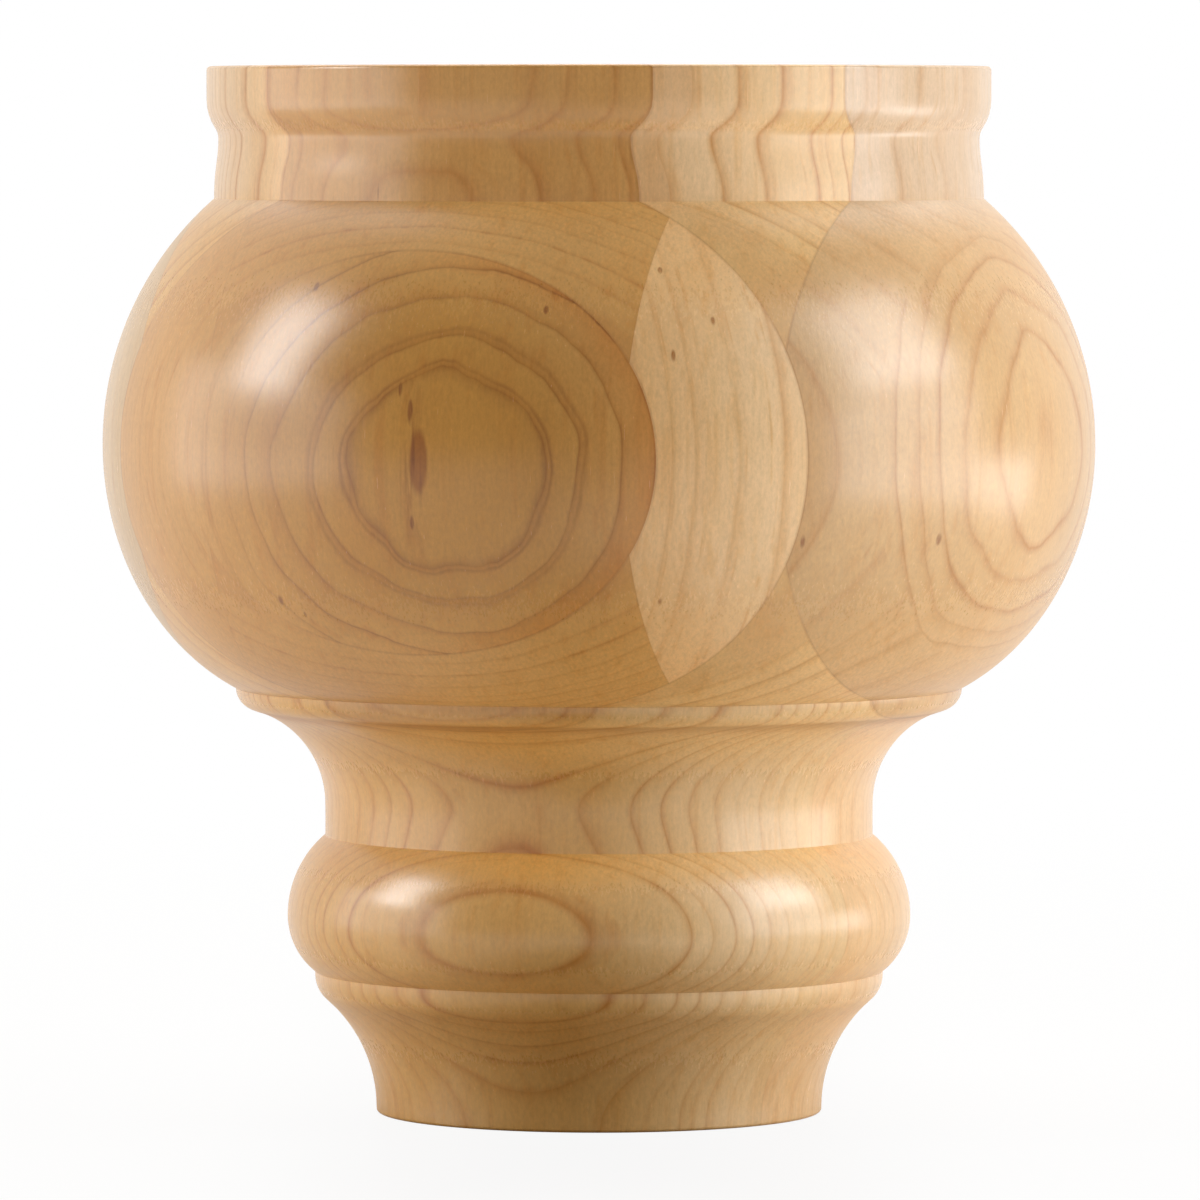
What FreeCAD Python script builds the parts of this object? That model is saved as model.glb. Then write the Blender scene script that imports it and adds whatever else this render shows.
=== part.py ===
import FreeCAD
import Part
import math
import os

# Turned bun foot of hard maple. Sizes are in millimetres, listed from the floor up in the order
# a turner marks them on the blank. Heights are those of each member, so the foot stands as tall
# as its members put together.

# Base: flat underside with a rounded rim, then a hollow flare that rolls over into a lip.
base_diameter = 65.0
base_rim_radius = 0.5
flare_diameter = 82.9
flare_height = 19.6
flare_lip_radius = 4.5
flare_band_height = 0.6

# Bead: fuller above its widest line than below it.
bead_diameter = 90.9
bead_lower_height = 8.1
bead_upper_height = 11.7

# Neck: a short straight waist, then a deep cove that rolls over into a lip under the bulb.
neck_diameter = 79.9
neck_height = 4.6
cove_diameter = 105.9
cove_height = 17.0
cove_lip_radius = 3.2

# Bulb: a round upper half over an elliptical lower half, which is cut short by the cove's lip.
bulb_diameter = 144.5
bulb_lower_height = 35.4
bulb_lower_cut = 3.45
bulb_upper_height = 35.7

# Collar: a slightly hollow neck, a small ogee and a band with a rounded top rim.
collar_root_diameter = 112.0
collar_waist_diameter = 110.7
collar_waist_height = 8.7
collar_root_radius = 22.0
collar_diameter = 114.1
collar_ogee_height = 5.6
collar_lip_radius = 7.2
collar_band_height = 4.3
collar_rim_radius = 0.6


def at(radius, height):
    return FreeCAD.Vector(radius, 0, height)


def straight(start, end):
    return Part.makeLine(at(*start), at(*end))


def crowned_arc(crown, end):
    """Arc of a circle that stands upright at its crown and runs to the end."""
    across = end[0] - crown[0]
    rise = end[1] - crown[1]
    radius = (across ** 2 + rise ** 2) / (2 * abs(across))
    centre = crown[0] + math.copysign(radius, across)
    half_turn = math.atan2(abs(rise), radius - abs(across)) / 2
    middle_radius = centre - math.copysign(radius * math.cos(half_turn), across)
    middle_height = crown[1] + math.copysign(radius * math.sin(half_turn), rise)
    return Part.Arc(at(*crown), at(middle_radius, middle_height), at(*end)).toShape()


def ogee(start, end, end_radius):
    """Two arcs in an S, upright where they start and where they end."""
    across = end[0] - start[0]
    rise = end[1] - start[1]
    both_radii = (across ** 2 + rise ** 2) / (2 * abs(across))
    share = max(1 - end_radius / both_radii, 0.2)
    turn_point = (start[0] + share * across, start[1] + share * rise)
    return [crowned_arc(start, turn_point), crowned_arc(end, turn_point)]


def ellipse_arc(centre, half_width, half_height, low_angle, high_angle):
    """Arc of an upright ellipse, with the angles in degrees from straight out, up counted as plus."""
    outward = at(centre[0] + half_width, centre[1])
    upward = at(centre[0], centre[1] + half_height)
    if half_height > half_width:
        curve = Part.Ellipse(upward, outward, at(*centre))
        first = math.radians(90 - high_angle)
        last = math.radians(90 - low_angle)
    else:
        curve = Part.Ellipse(outward, upward, at(*centre))
        first = math.radians(low_angle)
        last = math.radians(high_angle)
    return Part.ArcOfEllipse(curve, first, last).toShape()


# Heights of the marks above the floor.
base_top = base_rim_radius
flare_top = base_top + flare_height
flare_band_top = flare_top + flare_band_height
bead_widest = flare_band_top + bead_lower_height
bead_top = bead_widest + bead_upper_height
neck_top = bead_top + neck_height
cove_top = neck_top + cove_height
bulb_widest = cove_top + bulb_lower_height
bulb_top = bulb_widest + bulb_upper_height
waist = bulb_top + collar_waist_height
band_bottom = waist + collar_ogee_height
band_top = band_bottom + collar_band_height
overall_height = band_top + collar_rim_radius

base_radius = base_diameter / 2
flare_radius = flare_diameter / 2
bead_radius = bead_diameter / 2
neck_radius = neck_diameter / 2
cove_radius = cove_diameter / 2
bulb_radius = bulb_diameter / 2
root_radius = collar_root_diameter / 2
waist_radius = collar_waist_diameter / 2
collar_radius = collar_diameter / 2

# The lower half of the bulb is an ellipse that would go on below the cove's lip.
bulb_half_height = bulb_lower_height + bulb_lower_cut
bulb_cut_angle = math.asin(bulb_lower_height / bulb_half_height)
bulb_half_width = (bulb_radius - cove_radius) / (1 - math.cos(bulb_cut_angle))

# Half of the outline, from the middle of the underside round to the middle of the top.
base_rim = base_radius - base_rim_radius
top_rim = collar_radius - collar_rim_radius
outline = [
    straight((0, 0), (base_rim, 0)),
    crowned_arc((base_radius, base_top), (base_rim, 0)),
]
outline += ogee((base_radius, base_top), (flare_radius, flare_top), flare_lip_radius)
outline += [
    straight((flare_radius, flare_top), (flare_radius, flare_band_top)),
    crowned_arc((bead_radius, bead_widest), (flare_radius, flare_band_top)),
    crowned_arc((bead_radius, bead_widest), (neck_radius, bead_top)),
    straight((neck_radius, bead_top), (neck_radius, neck_top)),
]
outline += ogee((neck_radius, neck_top), (cove_radius, cove_top), cove_lip_radius)
outline += [
    ellipse_arc(
        (bulb_radius - bulb_half_width, bulb_widest),
        bulb_half_width,
        bulb_half_height,
        -math.degrees(bulb_cut_angle),
        0,
    ),
    crowned_arc((bulb_radius, bulb_widest), (root_radius, bulb_top)),
]
outline += ogee((root_radius, bulb_top), (waist_radius, waist), collar_root_radius)
outline += ogee((waist_radius, waist), (collar_radius, band_bottom), collar_lip_radius)
outline += [
    straight((collar_radius, band_bottom), (collar_radius, band_top)),
    crowned_arc((collar_radius, band_top), (top_rim, overall_height)),
    straight((top_rim, overall_height), (0, overall_height)),
    straight((0, overall_height), (0, 0)),
]

# The foot is turned from one glued-up blank, so the outline is spun once about its own axis.
half_section = Part.Face(Part.Wire(outline))
foot = half_section.revolve(FreeCAD.Vector(0, 0, 0), FreeCAD.Vector(0, 0, 1), 360)

os.makedirs("parts", exist_ok=True)
foot.exportStep("parts/bun_foot.step")
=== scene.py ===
import math

import bmesh
import bpy
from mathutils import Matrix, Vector


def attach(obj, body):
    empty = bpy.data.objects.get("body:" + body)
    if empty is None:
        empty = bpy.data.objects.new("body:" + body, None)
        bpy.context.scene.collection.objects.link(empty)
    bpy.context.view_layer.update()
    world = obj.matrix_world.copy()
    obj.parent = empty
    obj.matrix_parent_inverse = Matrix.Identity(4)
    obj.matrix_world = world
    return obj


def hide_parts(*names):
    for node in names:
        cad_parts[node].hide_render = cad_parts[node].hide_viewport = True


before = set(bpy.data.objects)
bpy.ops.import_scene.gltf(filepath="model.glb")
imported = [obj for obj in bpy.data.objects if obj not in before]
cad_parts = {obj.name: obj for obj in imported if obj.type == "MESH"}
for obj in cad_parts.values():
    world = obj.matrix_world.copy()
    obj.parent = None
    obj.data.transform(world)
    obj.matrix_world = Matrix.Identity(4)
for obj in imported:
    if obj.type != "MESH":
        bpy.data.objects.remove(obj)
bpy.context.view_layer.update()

# The blank
# Hard maple boards glued face to face: a square core of thick boards, with two thinner layers built
# up on each of its four sides. It stands turned a little to the left of square. Sizes are millimetres.
MM_PER_METRE = 1000.0
BLANK_TURN = math.radians(-24)
FRONT_OUT = (math.sin(BLANK_TURN), -math.cos(BLANK_TURN))
SIDE_OUT = (math.cos(BLANK_TURN), math.sin(BLANK_TURN))
FRONT_LAYER, FRONT_CAP = 48.6, 62.4
SIDE_LAYER, SIDE_CAP = 50.1, 60.1
FRONT_EDGE_JOINT = 32.4
CORE_JOINT, CORE_BACK_JOINT = 11.2, -22.0
BULB_MIDDLE = 97.0
CAP_LIFT = 1.8


class Wire:
    """One socket of a shader. Sums, products and powers of wires add Math nodes."""

    def __init__(self, socket):
        self.socket = socket

    def node(self, kind, settings=None, inputs=None, output=0):
        """A new node in the same shader: settings first, then a value or a wire for each socket."""
        made = self.socket.id_data.nodes.new(kind)
        for name, value in (settings or {}).items():
            if name == "stops":
                ramp = made.color_ramp.elements
                while len(ramp) < len(value):
                    ramp.new(0.5)
                for element, (place, level) in zip(ramp, value):
                    element.position = place
                    element.color = (level, level, level, 1)
            else:
                setattr(made, name, value)
        for name, value in (inputs or {}).items():
            if isinstance(value, Wire):
                self.socket.id_data.links.new(value.socket, made.inputs[name])
            else:
                made.inputs[name].default_value = value
        return Wire(made.outputs[output])

    def math(self, operation, *others):
        values = dict(enumerate((self, *others)))
        return self.node("ShaderNodeMath", {"operation": operation}, values)

    def __add__(self, other):
        return self.math("ADD", other)

    __radd__ = __add__

    def __mul__(self, other):
        return self.math("MULTIPLY", other)

    __rmul__ = __mul__

    def __sub__(self, other):
        return self.math("SUBTRACT", other)

    def __rsub__(self, other):
        return self * -1 + other

    def __gt__(self, other):
        return self.math("GREATER_THAN", other)

    def __lt__(self, other):
        return self.math("LESS_THAN", other)

    def __pow__(self, other):
        return self.math("POWER", other)

    def __abs__(self):
        return self.math("ABSOLUTE")

    def most(self, other):
        return self.math("MAXIMUM", other)

    def ease(self, low, high):
        """0 below low, 1 above high and a soft step between."""
        inputs = {"Value": self, "From Min": low, "From Max": high}
        return self.node("ShaderNodeMapRange", {"interpolation_type": "SMOOTHSTEP"}, inputs)

    def near(self, middle, reach):
        """1 at the middle, falling softly to 0 at the reach on either side."""
        return 1 - abs(self - middle).ease(0.0, reach)

    def ramp(self, *stops):
        return self.node("ShaderNodeValToRGB", {"stops": stops}, {"Fac": self})

    def blend(self, one, two, kind="MIX"):
        """Colour one where this wire is 0; where it is 1, colour two, or one stained by two."""
        settings = {"data_type": "RGBA", "blend_type": kind}
        return self.node("ShaderNodeMix", settings, {"Factor": self, 6: one, 7: two}, 2)

    def stain(self, wood, tint):
        return self.blend(wood, tint, "MULTIPLY")

    def choose(self, one, two):
        """Three numbers: those of one where this wire is 0, and those of two where it is 1."""
        settings = {"data_type": "VECTOR"}
        return self.node("ShaderNodeMix", settings, {"Factor": self, 4: one, 5: two}, 1)

    def scaled(self, amount):
        return self.node("ShaderNodeVectorMath", {"operation": "SCALE"}, {0: self, "Scale": amount})

    def parts(self):
        return [self.node("ShaderNodeSeparateXYZ", {}, {0: self}, axis) for axis in range(3)]

    def noise(self, across, along, detail=2.0, roughness=0.5):
        """Cloudy pattern in grain directions, with its grain size in millimetres across and along."""
        stretch = Vector((1 / across, 1 / across, 1 / along))
        place = self.node("ShaderNodeVectorMath", {"operation": "MULTIPLY"}, {0: self, 1: stretch})
        inputs = {"Vector": place, "Scale": 1.0, "Detail": detail, "Roughness": roughness}
        return self.node("ShaderNodeTexNoise", {}, inputs)

    def away_from(self, centre, across, along):
        """Distance from a spot, counted in its half width across the grain and half length along it."""
        size = Vector((1 / across, 1 / across, 1 / along))
        offset = self.node("ShaderNodeVectorMath", {"operation": "SUBTRACT"}, {0: self, 1: centre})
        offset = self.node("ShaderNodeVectorMath", {"operation": "MULTIPLY"}, {0: offset, 1: size})
        return self.node("ShaderNodeVectorMath", {"operation": "LENGTH"}, {0: offset}, 1)

    def chance(self):
        return self.node("ShaderNodeTexWhiteNoise", {"noise_dimensions": "1D"}, {"W": self})


def srgb(red, green, blue):
    """A colour as it is read off a screen, 0 to 255, as Blender's linear colour."""
    levels = [c / 255 for c in (red, green, blue)]
    return [c / 12.92 if c < 0.04045 else ((c + 0.055) / 1.055) ** 2.4 for c in levels] + [1]


def hard_maple():
    """Solid wood: every board has its own rings in depth, so the turned surface cuts its own figure."""
    material = bpy.data.materials.new("hard_maple")
    material.use_nodes = True
    tree = material.node_tree
    shader = tree.nodes["Principled BSDF"]
    place = Wire(tree.nodes.new("ShaderNodeTexCoord").outputs["Object"])
    x, y, z = place.scaled(MM_PER_METRE).parts()
    depth = x * FRONT_OUT[0] + y * FRONT_OUT[1]
    side = x * SIDE_OUT[0] + y * SIDE_OUT[1]
    grain = depth.node("ShaderNodeCombineXYZ", {}, {0: depth, 1: side, 2: z})

    # Each board: where its tree's heart lay (depth, side) and its ring count offset; its ring width in
    # millimetres, how dark its ring lines are and how far they bow along the tree; and its colour.
    brown = srgb(197, 140, 57)
    honey = srgb(209, 155, 84)
    tan = srgb(221, 170, 95)
    straw = srgb(236, 191, 133)
    pale = srgb(206, 168, 114)
    buff = srgb(229, 188, 134)
    cream = srgb(210, 169, 114)
    front = depth > FRONT_LAYER
    cap = depth > FRONT_CAP
    right_strip = front * (side > FRONT_EDGE_JOINT)
    boards = [
        (None, (-130.0, -20.0, 0.3), (2.3, 0.6, 0.0), tan),
        (depth > CORE_BACK_JOINT, (90.0, 150.0, 0.1), (2.6, 0.35, 0.0), buff),
        (depth > CORE_JOINT, (-119.2, -13.8, 0.0), (2.2, 0.95, 0.0), tan),
        (side > SIDE_LAYER, (-8.0, 28.0, 0.02), (5.0, 0.45, 0.0), cream),
        (side > SIDE_CAP, (-6.0, -90.0, 0.25), (1.0, 0.85, 0.75), cream),
        (side < -SIDE_LAYER, (60.0, 40.0, 0.6), (2.7, 0.2, 0.0), pale),
        (side < -SIDE_CAP, (8.0, 100.0, 0.35), (1.4, 0.25, 0.7), pale),
        (front, (-120.0, 4.0, 0.5), (2.0, 0.5, 0.0), honey),
        (front * (side < -FRONT_EDGE_JOINT), (-90.0, -40.0, 0.1), (2.1, 0.25, 0.0), honey),
        (right_strip, (-11.0, 85.6, 0.0), (4.0, 0.55, 0.0), straw),
        (cap, (-149.3, -14.9, 0.0), (1.4, 1.0, 0.57), honey),
        (depth < -FRONT_LAYER, (30.0, 120.0, 0.7), (2.4, 0.45, 0.0), straw),
        (depth < -FRONT_CAP, (140.0, 18.0, 0.15), (1.5, 0.7, 0.5), tan),
    ]
    heart, habit, wood = boards[0][1:]
    for inside, board_heart, board_habit, board_colour in boards[1:]:
        heart = inside.choose(heart, board_heart)
        habit = inside.choose(habit, board_habit)
        wood = inside.blend(wood, board_colour)
    deep_in_cap = cap * depth.ease(61.0, 70.5)
    wood = deep_in_cap.blend(wood, brown)
    heart_depth, heart_side, count_offset = heart.parts()
    ring_width, line_strength, bow = habit.parts()
    cap_lift = cap * CAP_LIFT
    up_bulb = (z - BULB_MIDDLE - cap_lift) * 0.1

    # Growth rings wander as they go round and up the tree, less so in the straight-grown core, whose
    # trunk narrows a little above the bead.
    behind = abs(depth) < FRONT_LAYER
    in_core = abs(side) < SIDE_LAYER
    wander = (grain.noise(26, 90, 1.5) - 0.5) * 1.4
    wander = wander + (grain.noise(11, 15, 1.0) - 0.5) * 0.7 + (grain.noise(2.6, 7, 1.0) - 0.5) * 0.14
    front_core = behind * in_core * (depth > CORE_JOINT)
    narrowing = front_core * z.ease(34, 54) * 1.5
    wander = wander * (1 - front_core * 0.6) - narrowing
    from_depth = depth - heart_depth
    from_side = side - heart_side
    radius = (from_depth * from_depth + from_side * from_side) ** 0.5 + up_bulb * up_bulb * bow + wander
    count = radius * (ring_width ** -1) + count_offset
    slow_count = {"W": count * 0.6, "Scale": 1.0}
    uneven = count.node("ShaderNodeTexNoise", {"noise_dimensions": "1D"}, slow_count)
    count = count + (uneven - 0.5) * 0.6

    # The four boards that show most from the front have uneven years: the radii of their ring lines.
    years = [
        (front_core, (
            140.0, 142.4, 144.7, 147.0, 149.3, 151.3, 153.2, 154.9, 156.4, 158.2, 159.6,
            164.1, 167.2, 170.0,
        )),
        (front * (abs(side) < FRONT_EDGE_JOINT), (
            168.6, 170.7, 172.4, 174.3, 175.5, 177.5, 179.6, 181.5, 183.5,
        )),
        (right_strip * (depth < FRONT_CAP), (64.0, 71.1, 77.6, 83.3, 86.3, 90.0)),
        (cap, (206.1, 208.2, 210.4, 212.8, 214.6, 216.2, 217.7, 219.0, 220.4, 221.2, 224.0)),
    ]
    for inside, marks in years:
        first, reach = marks[0], marks[-1] - marks[0]
        stops = [((mark - first) / reach, number / len(marks)) for number, mark in enumerate(marks)]
        counted = ((radius - first) * (1 / reach)).ramp(*stops) * len(marks)
        count = count + inside * (counted - count)

    # Slanting cuts leave the fibre ends fuzzy; on the right these slopes are painted paler, partly as
    # pale fuzz and partly as painted light. Flat end grain drinks in the finish and browns.
    facing = abs(place.node("ShaderNodeNewGeometry", {}, {}, 1).parts()[2])
    end_grain = facing.ease(0.85, 1.0)
    fuzzy = facing.ease(0.3, 0.75) * (1 - end_grain)

    # A year is a slow darkening that ends in a soft brown line, at times a double one. The lines fade
    # in the core's older years, on slanting cuts and at the left of the front cap.
    within = count.math("FRACT")
    line_number = (count + 0.5).math("FLOOR") + heart_side
    line = within.ramp((0, 1), (0.05, 0.4), (0.12, 0), (0.78, 0), (0.92, 0.4), (1, 1))
    thin_line = within.ramp((0, 1), (0.035, 0.35), (0.08, 0), (0.85, 0), (0.95, 0.35), (1, 1))
    line = line + cap * (thin_line - line)
    doubled = (line_number + 0.37).chance().ease(0.5, 0.8)
    twin = within.ramp((0.76, 0), (0.84, 1), (0.86, 1), (0.92, 0)) * doubled
    line = line.most(twin * cap * 0.75) * (line_number.chance() * 0.6 + 0.4) * line_strength
    line = line * (grain.noise(6, 20) * 1.7).math("MINIMUM", 1.0)
    old_years = front_core * (1 - radius.ease(150, 160))
    cap_left = cap * (1 - side.ease(-28, -13))
    line = line * (1 - old_years * 0.6) * (1 - fuzzy * 0.4)
    line = line * (1 - cap_left * 0.7)
    late = within ** 3 * ((line_number + 0.71).chance() * 0.8 + 0.2) * line_strength * 0.5

    # Faint lines inside the years, fibres, broad streaks, clouds and short pores.
    inner_lines = {"W": radius * 1.1, "Scale": 1.0, "Detail": 2.0, "Roughness": 0.6}
    faint = radius.node("ShaderNodeTexNoise", {"noise_dimensions": "1D"}, inner_lines)
    faint = (faint - 0.5) * grain.noise(2.5, 7, 2.0).ease(0.35, 0.75)
    fibre = grain.noise(0.42, 9, 2.0, 0.6)
    streak = grain.noise(1.7, 55, 2.0, 0.6)
    cloud = grain.noise(16, 40, 2.0)
    golden = grain.noise(6, 24, 2.0, 0.6)
    speckle = grain.noise(0.5, 0.9, 3.0, 0.75)

    # Glue lines: thin, broken, and hardly there where the boards match.
    def glue(distance, width):
        return 1 - abs(distance).ease(width * 0.25, width)

    glued = glue(depth - FRONT_CAP, 0.2) * side.ease(-40, 5)
    glued = glued.most(glue(depth - FRONT_LAYER, 0.24))
    glued = glued.most(glue(abs(side) - FRONT_EDGE_JOINT, 0.16) * front * (depth < FRONT_CAP) * 0.6)
    glued = glued.most(glue(abs(side) - SIDE_LAYER, 0.22) * behind)
    glued = glued.most(glue(depth - CORE_JOINT, 0.2) * in_core * 0.5)
    glued = glued.most(glue(depth - CORE_BACK_JOINT, 0.2) * in_core * 0.5)
    glued = glued.most(glue(depth + FRONT_LAYER, 0.24))
    glued = glued.most(glue(depth + FRONT_CAP, 0.2) * 0.7)
    glued = glued * (grain.noise(4, 12) * 1.6).math("MINIMUM", 1.0)

    # The core is painted paler to the right, most of all below the cove, and so is the top of the board
    # beside it: partly sapwood, partly painted light on its lit side. In the collar the core is pale
    # all over, and so is the right strip's outer edge.
    in_collar = z.ease(128, 136)
    below_cove = 1 - z.ease(55, 65)
    sapwood_and_painted_light = (front_core * side.ease(6, 34)).most(behind * (side > SIDE_LAYER) * z.ease(126, 136))
    pale_top = front_core * in_collar * (1 - side.ease(34, 50))
    pale_edge = right_strip * side.ease(36, 47)
    pale_left = front_core * in_collar * (1 - side.ease(-42, -24))

    # Older wood shows as a darker crescent beside the right strip.
    crescent = behind * (side > SIDE_LAYER) * (side < SIDE_CAP) * radius.ease(59.7, 60.1)

    # The front cap's right edge has drunk in glue, and a brown heart streak stands left of its middle.
    soaked = cap * (1 - (depth - FRONT_CAP).ease(0.0, 2.6)) * side.ease(-12, 26)
    heart_streak = 1 - grain.away_from((72.0, 4.6, 97.2), 1.5, 4.9).ease(0.7, 1.1)
    brown_threads = grain.noise(0.8, 12, 2.0).ease(0.44, 0.66)
    stained = cap * side.near(3.6, 3.0) * z.near(BULB_MIDDLE, 18.0) * brown_threads

    # Mineral flecks and checks: place in depth, side and height, half width and half length.
    flecks = [
        ((71.3, 1.5, 107.6), 0.35, 1.7),
        ((71.7, 3.2, 104.4), 0.45, 2.6),
        ((71.4, 3.3, 88.3), 0.4, 1.8),
        ((64.2, -14.8, 121.5), 0.5, 2.2),
        ((64.3, -20.4, 76.6), 0.55, 2.0),
        ((64.2, -16.6, 74.8), 0.3, 1.6),
        ((64.3, 20.6, 118.5), 0.45, 1.2),
        ((54.8, 33.7, 123.7), 0.4, 1.2),
        ((59.1, 37.6, 112.4), 0.4, 1.8),
        ((54.2, 41.5, 117.1), 0.45, 1.2),
        ((58.0, 35.1, 77.2), 0.4, 1.2),
        ((47.8, 52.4, 85.5), 0.5, 1.6),
        ((28.3, 65.0, 85.6), 0.7, 1.2),
        ((55.3, -9.5, 135.1), 0.22, 2.6),
    ]
    fleck = 0
    for centre, half_width, half_length in flecks:
        fleck = (1 - grain.away_from(centre, half_width, half_length).ease(0.5, 1.1)).most(fleck)
    fleck = fleck * (fibre * 1.6).math("MINIMUM", 1.0)

    # The board's colour with all of these laid over it, each as a stain; the sapwood paling and the
    # paler slopes on the right are partly painted light.
    tone = (fibre - 0.5) * 0.2 + (speckle - 0.5) * (fuzzy * 0.1 + 0.45) + (cloud - 0.5) * 0.2
    wood = wood.scaled(tone + 1.0)
    # Partly sapwood, partly painted light: the right side and the wood below the cove painted paler.
    wood = sapwood_and_painted_light.stain(wood, (1.05, 1.21, 1.78, 1))
    wood = (sapwood_and_painted_light * below_cove).stain(wood, (1.02, 1.08, 1.25, 1))
    wood = pale_top.stain(wood, (1.15, 1.23, 1.6, 1))
    wood = pale_edge.stain(wood, (1.03, 1.12, 1.3, 1))
    wood = pale_left.stain(wood, (0.9, 1.0, 1.4, 1))
    wood = faint.ease(0.0, 0.3).stain(wood, (0.88, 0.76, 0.6, 1))
    wood = golden.ease(0.45, 0.7).stain(wood, (0.98, 0.95, 0.89, 1))
    wood = streak.ease(0.5, 0.8).stain(wood, (0.94, 0.86, 0.74, 1))
    wood = late.stain(wood, (0.84, 0.67, 0.4, 1))
    wood = line.stain(wood, cap.blend((0.62, 0.34, 0.02, 1), (0.46, 0.29, 0.0, 1)))
    wood = crescent.stain(wood, (0.93, 0.86, 0.76, 1))
    wood = (glued * 0.4).stain(wood, (0.55, 0.38, 0.22, 1))
    wood = soaked.stain(wood, (0.94, 0.8, 0.62, 1))
    wood = stained.stain(wood, (0.7, 0.58, 0.42, 1))
    wood = heart_streak.stain(wood, (0.66, 0.48, 0.26, 1))
    wood = (fleck * 0.85).stain(wood, (0.4, 0.2, 0.02, 1))
    # Partly pale fuzz, partly painted light: slopes on the right painted lighter, as if lit there.
    pale_fuzz_and_painted_light = right_strip.most(behind).blend((1.2, 1.28, 1.42, 1), (1.12, 1.1, 1.04, 1))
    wood = (fuzzy * side.ease(-16, 6)).stain(wood, pale_fuzz_and_painted_light)
    wood = end_grain.stain(wood, (0.82, 0.72, 0.6, 1))
    tree.links.new(wood.socket, shader.inputs["Base Color"])

    # A clear satin seal, duller on torn fibres and end grain, with the fibres just felt through it.
    shader.inputs["Specular IOR Level"].default_value = 1.0
    gloss = 0.25 + (fibre - 0.5) * 0.1 + fuzzy * 0.08 + end_grain * 0.2
    tree.links.new(gloss.socket, shader.inputs["Roughness"])
    height = fibre * 0.5
    bump = height.node("ShaderNodeBump", {}, {"Strength": 0.12, "Distance": 0.0002, "Height": height})
    tree.links.new(bump.socket, shader.inputs["Normal"])
    return material


# The turned foot
# The blank spun between centres and cut to one outline: base flare, bead, neck, cove, bulb and collar.
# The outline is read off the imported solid, smoothed along its curves and spun into one skin.
ROUND_STEPS = 376
STEP_UP = 0.00075
CORNER_TURN = math.radians(25)
SHARP_EDGE = math.radians(24)
ON_SEAM = 1e-7
OFF_AXIS = 1e-4


def seam_points(mesh):
    """The outline from rim to rim as (radius, height), read where the solid's skin closes on itself."""
    seam = {}
    for vertex in mesh.vertices:
        if abs(vertex.co.y) < ON_SEAM and vertex.co.x > OFF_AXIS:
            key = round(vertex.co.z, 6)
            seam[key] = max(seam.get(key, 0), vertex.co.x)
    return [Vector((seam[height], height)) for height in sorted(seam)]


def smooth_outline(points):
    """More points on a curve through the outline's own, with its sharp corners kept."""
    corners = [0]
    for i in range(1, len(points) - 1):
        if (points[i] - points[i - 1]).angle(points[i + 1] - points[i]) > CORNER_TURN:
            corners.append(i)
    corners.append(len(points) - 1)
    outline = [points[0]]
    for first, last in zip(corners, corners[1:]):
        run = points[first:last + 1]
        slopes = []
        for i in range(len(run)):
            before, after = max(i - 1, 0), min(i + 1, len(run) - 1)
            slopes.append((run[after] - run[before]).normalized())
        if len(run) > 2:
            slopes[0] = slopes[1].reflect((run[1] - run[0]).orthogonal().normalized())
            slopes[-1] = slopes[-2].reflect((run[-1] - run[-2]).orthogonal().normalized())
        for i in range(len(run) - 1):
            span = (run[i + 1] - run[i]).length
            pieces = max(1, round(span / STEP_UP))
            for k in range(1, pieces + 1):
                t = k / pieces
                here = (2 * t ** 3 - 3 * t ** 2 + 1) * run[i]
                leaving = (t ** 3 - 2 * t ** 2 + t) * span * slopes[i]
                there = (3 * t ** 2 - 2 * t ** 3) * run[i + 1]
                reaching = (t ** 3 - t ** 2) * span * slopes[i + 1]
                outline.append(here + leaving + there + reaching)
    return outline


outline = smooth_outline(seam_points(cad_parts["bun_foot"].data))
turned = bmesh.new()
rows = []
for radius, height in outline:
    ring_of_points = []
    for step in range(ROUND_STEPS):
        angle = math.tau * step / ROUND_STEPS
        point = (radius * math.cos(angle), radius * math.sin(angle), height)
        ring_of_points.append(turned.verts.new(point))
    rows.append(ring_of_points)
for low, high in zip(rows, rows[1:]):
    for step in range(ROUND_STEPS):
        beside = (step + 1) % ROUND_STEPS
        turned.faces.new((low[step], low[beside], high[beside], high[step]))
for rim, height, upright in ((rows[0], outline[0].y, False), (rows[-1], outline[-1].y, True)):
    middle = turned.verts.new((0, 0, height))
    for step in range(ROUND_STEPS):
        pair = [rim[step], rim[(step + 1) % ROUND_STEPS]]
        turned.faces.new((*(pair if upright else pair[::-1]), middle))
for face in turned.faces:
    face.smooth = True
foot_mesh = bpy.data.meshes.new("turned_foot")
turned.to_mesh(foot_mesh)
turned.free()
foot_mesh.set_sharp_from_angle(angle=SHARP_EDGE)
foot_mesh.materials.append(hard_maple())
foot = bpy.data.objects.new("turned_foot", foot_mesh)
bpy.context.scene.collection.objects.link(foot)
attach(foot, "root")
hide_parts("bun_foot")

# The studio
# A pale floor that runs back into a white sweep. Low soft walls and a brighter window light the foot
# from each side, with weaker light from the right front and from high behind; the room is dim.
FLOOR_REACH = 6.0
FLOOR_LIFT = 0.92
AIM_HEIGHT = 0.075


def seen_as_white(tree, mirrored):
    """1 for the camera and through glass; in reflections, as much as the mirrored wire says."""
    path = tree.nodes.new("ShaderNodeLightPath")
    camera, glossy, through = (
        Wire(path.outputs[name]) for name in ("Is Camera Ray", "Is Glossy Ray", "Is Transmission Ray")
    )
    return camera.most(through).most(glossy * mirrored)


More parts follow.
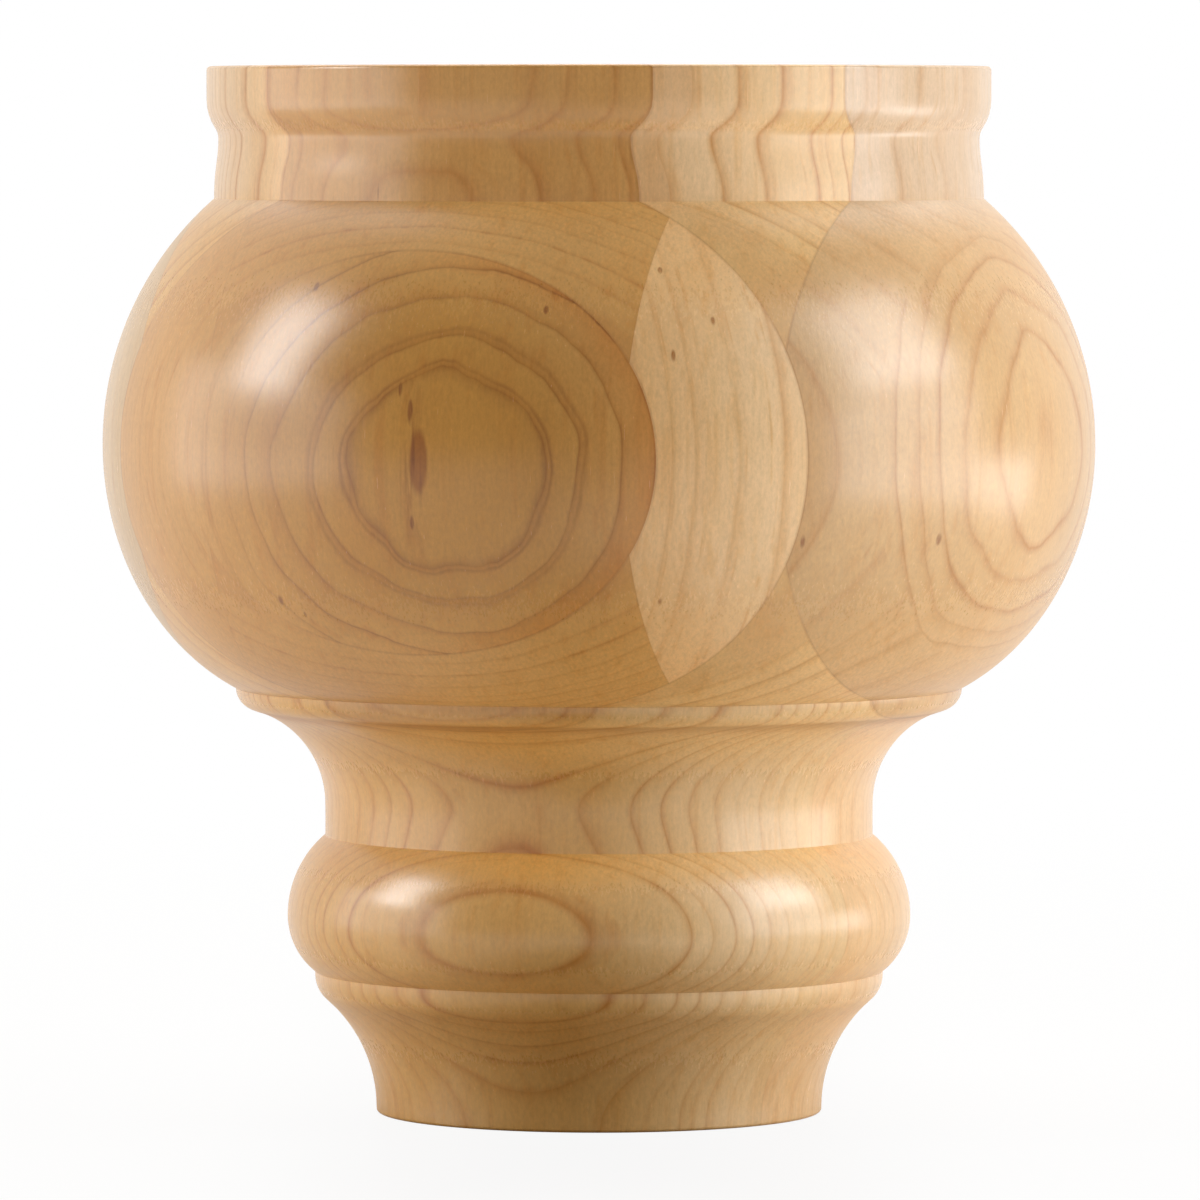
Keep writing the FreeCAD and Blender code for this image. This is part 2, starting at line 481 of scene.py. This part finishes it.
floor_mesh = bpy.data.meshes.new("floor")
corner_signs = ((-1, -1), (1, -1), (1, 1), (-1, 1))
floor_corners = [(a * FLOOR_REACH, b * FLOOR_REACH, 0) for a, b in corner_signs]
floor_mesh.from_pydata(floor_corners, [], [(0, 1, 2, 3)])
floor = bpy.data.objects.new("floor", floor_mesh)
bpy.context.scene.collection.objects.link(floor)
floor_paper = bpy.data.materials.new("floor_paper")
floor_paper.use_nodes = True
paper = floor_paper.node_tree
paper_look = paper.nodes["Principled BSDF"]
paper_look.inputs["Roughness"].default_value = 0.4
on_floor = Wire(paper.nodes.new("ShaderNodeTexCoord").outputs["Object"])
# Painted shade: the paper is coloured darker and browner close to the foot in front and behind, so it
# throws back less light there.
from_foot = on_floor.node("ShaderNodeVectorMath", {"operation": "LENGTH"}, {0: on_floor}, 1)
to_the_side = abs(on_floor.parts()[0])
paper_clear_of_painted_shade = from_foot.ease(0.05, 0.25).most(to_the_side.ease(0.005, 0.06))
paper_with_painted_shade = paper_clear_of_painted_shade.blend((0.18, 0.11, 0.05, 1), (0.8, 0.76, 0.7, 1))
paper.links.new(paper_with_painted_shade.socket, paper_look.inputs["Base Color"])
# The camera sees it near white. Reflections do so behind the foot, and half as much to the sides.
lift = from_foot.ease(0.15, 0.7) * (1 - FLOOR_LIFT) + FLOOR_LIFT
mirrored = on_floor.parts()[1].ease(-0.02, 0.2).most(to_the_side.ease(0.08, 0.3) * 0.5)
lift = lift * seen_as_white(paper, mirrored)
glow = Wire(paper.nodes.new("ShaderNodeEmission").outputs[0])
lifted = lift.node("ShaderNodeMixShader", {}, {0: lift, 1: Wire(paper_look.outputs[0]), 2: glow})
paper.links.new(lifted.socket, paper.nodes["Material Output"].inputs["Surface"])
floor_mesh.materials.append(floor_paper)

world = bpy.data.worlds.new("sweep")
bpy.context.scene.world = world
world.use_nodes = True
sky = world.node_tree
towards = Wire(sky.nodes.new("ShaderNodeTexCoord").outputs["Generated"])
behind_foot = towards.parts()[1].ease(-0.05, 0.5)
room_level = (1 - behind_foot) * 0.17 + 0.03
room = room_level.node("ShaderNodeBackground", {}, {"Color": (1, 1, 1, 1), "Strength": room_level})
white = room_level.node("ShaderNodeBackground", {}, {"Color": (1, 1, 1, 1), "Strength": 1.0})
shown = seen_as_white(sky, behind_foot)
shown = shown.node("ShaderNodeMixShader", {}, {0: shown, 1: room, 2: white})
sky.links.new(shown.socket, sky.nodes["World Output"].inputs["Surface"])


def soft_light(name, azimuth, elevation, distance, width, height, brightness):
    """A flat soft light that faces the foot. Azimuth 0 is on the camera's side, and right is plus."""
    lamp = bpy.data.lights.new(name, "AREA")
    lamp.shape = "RECTANGLE"
    lamp.size = width
    lamp.size_y = height
    lamp.energy = brightness * math.pi * width * height
    light = bpy.data.objects.new(name, lamp)
    turn, tilt = math.radians(azimuth), math.radians(elevation)
    level = math.cos(tilt)
    direction = Vector((math.sin(turn) * level, -math.cos(turn) * level, math.sin(tilt)))
    light.location = direction * distance + Vector((0, 0, AIM_HEIGHT))
    light.rotation_euler = direction.to_track_quat("Z", "Y").to_euler()
    bpy.context.scene.collection.objects.link(light)


soft_light("left_wall", -84, 6, 0.6, 0.6, 0.3, 1.6)
soft_light("left_window", -85, 28, 1.15, 0.34, 0.5, 7.2)
soft_light("right_wall", 71, 2, 0.42, 0.3, 0.178, 2.5)
soft_light("right_upper_wall", 74, 19, 0.47, 0.3, 0.13, 1.7)
soft_light("right_far_wall", 100, -4.8, 0.42, 0.15, 0.078, 2.8)
soft_light("right_window", 77, 31, 1.15, 0.54, 0.52, 4.5)
soft_light("right_front", 50, 25, 1.2, 0.42, 1.1, 0.65)
soft_light("high_back", 180, 60, 1.4, 1.6, 1.2, 2.8)

# The camera
# A long lens a little below the top of the foot, aimed at the middle of the picture.
CAMERA_DISTANCE = 1.4292
CAMERA_HEIGHT = 0.1439
MIDDLE_HEIGHT = 0.0747
PICTURE_WIDTH = 0.1750
CAMERA_SIDE = 0.00015
SENSOR_WIDTH = 36
lens = bpy.data.cameras.new("camera")
camera = bpy.data.objects.new("camera", lens)
bpy.context.scene.collection.objects.link(camera)
camera.location = (CAMERA_SIDE, -CAMERA_DISTANCE, CAMERA_HEIGHT)
aim = Vector((CAMERA_SIDE, 0, MIDDLE_HEIGHT)) - camera.location
camera.rotation_euler = aim.to_track_quat("-Z", "Y").to_euler()
lens.sensor_width = SENSOR_WIDTH
lens.lens = SENSOR_WIDTH * aim.length / PICTURE_WIDTH
bpy.context.scene.camera = camera
bpy.context.scene.view_settings.view_transform = "Standard"
